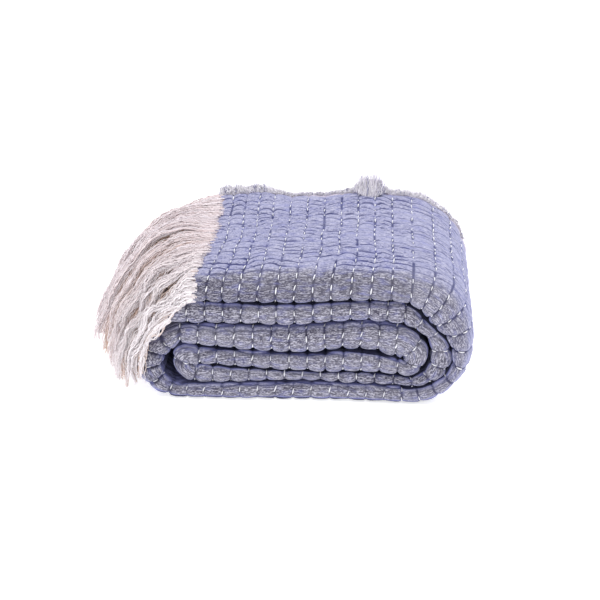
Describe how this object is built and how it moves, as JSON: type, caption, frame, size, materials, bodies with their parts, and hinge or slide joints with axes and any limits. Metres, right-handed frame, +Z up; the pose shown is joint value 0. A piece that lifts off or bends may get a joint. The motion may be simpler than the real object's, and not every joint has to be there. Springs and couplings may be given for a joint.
{
  "type": "folded fringed throw blanket",
  "caption": "Stitched, crinkled cotton throw with a cream fringe, folded lengthwise and rolled up flat, for dressing a sofa, bed, shelf or basket.",
  "frame": {"origin": "middle of the whole part's footprint, on the surface that it rests on", "axes": "+X along the folded bands, away from the fringed ends; -Y towards the front, where the rounded folds show; +Z up"},
  "size_m": [0.3672, 0.1842, 0.1518],
  "materials": {
    "stitched_cotton": "soft matt lavender-blue cotton, crinkled, with rows of white hand stitches",
    "fringe_cotton": "soft matt cream cotton yarn, loosely twisted"
  },
  "bodies": {
    "root": {"cloth": "stitched_cotton", "fringe_upper": "fringe_cotton", "fringe_upper_under": "fringe_cotton", "fringe_lower": "fringe_cotton"}
  },
  "joints": []
}
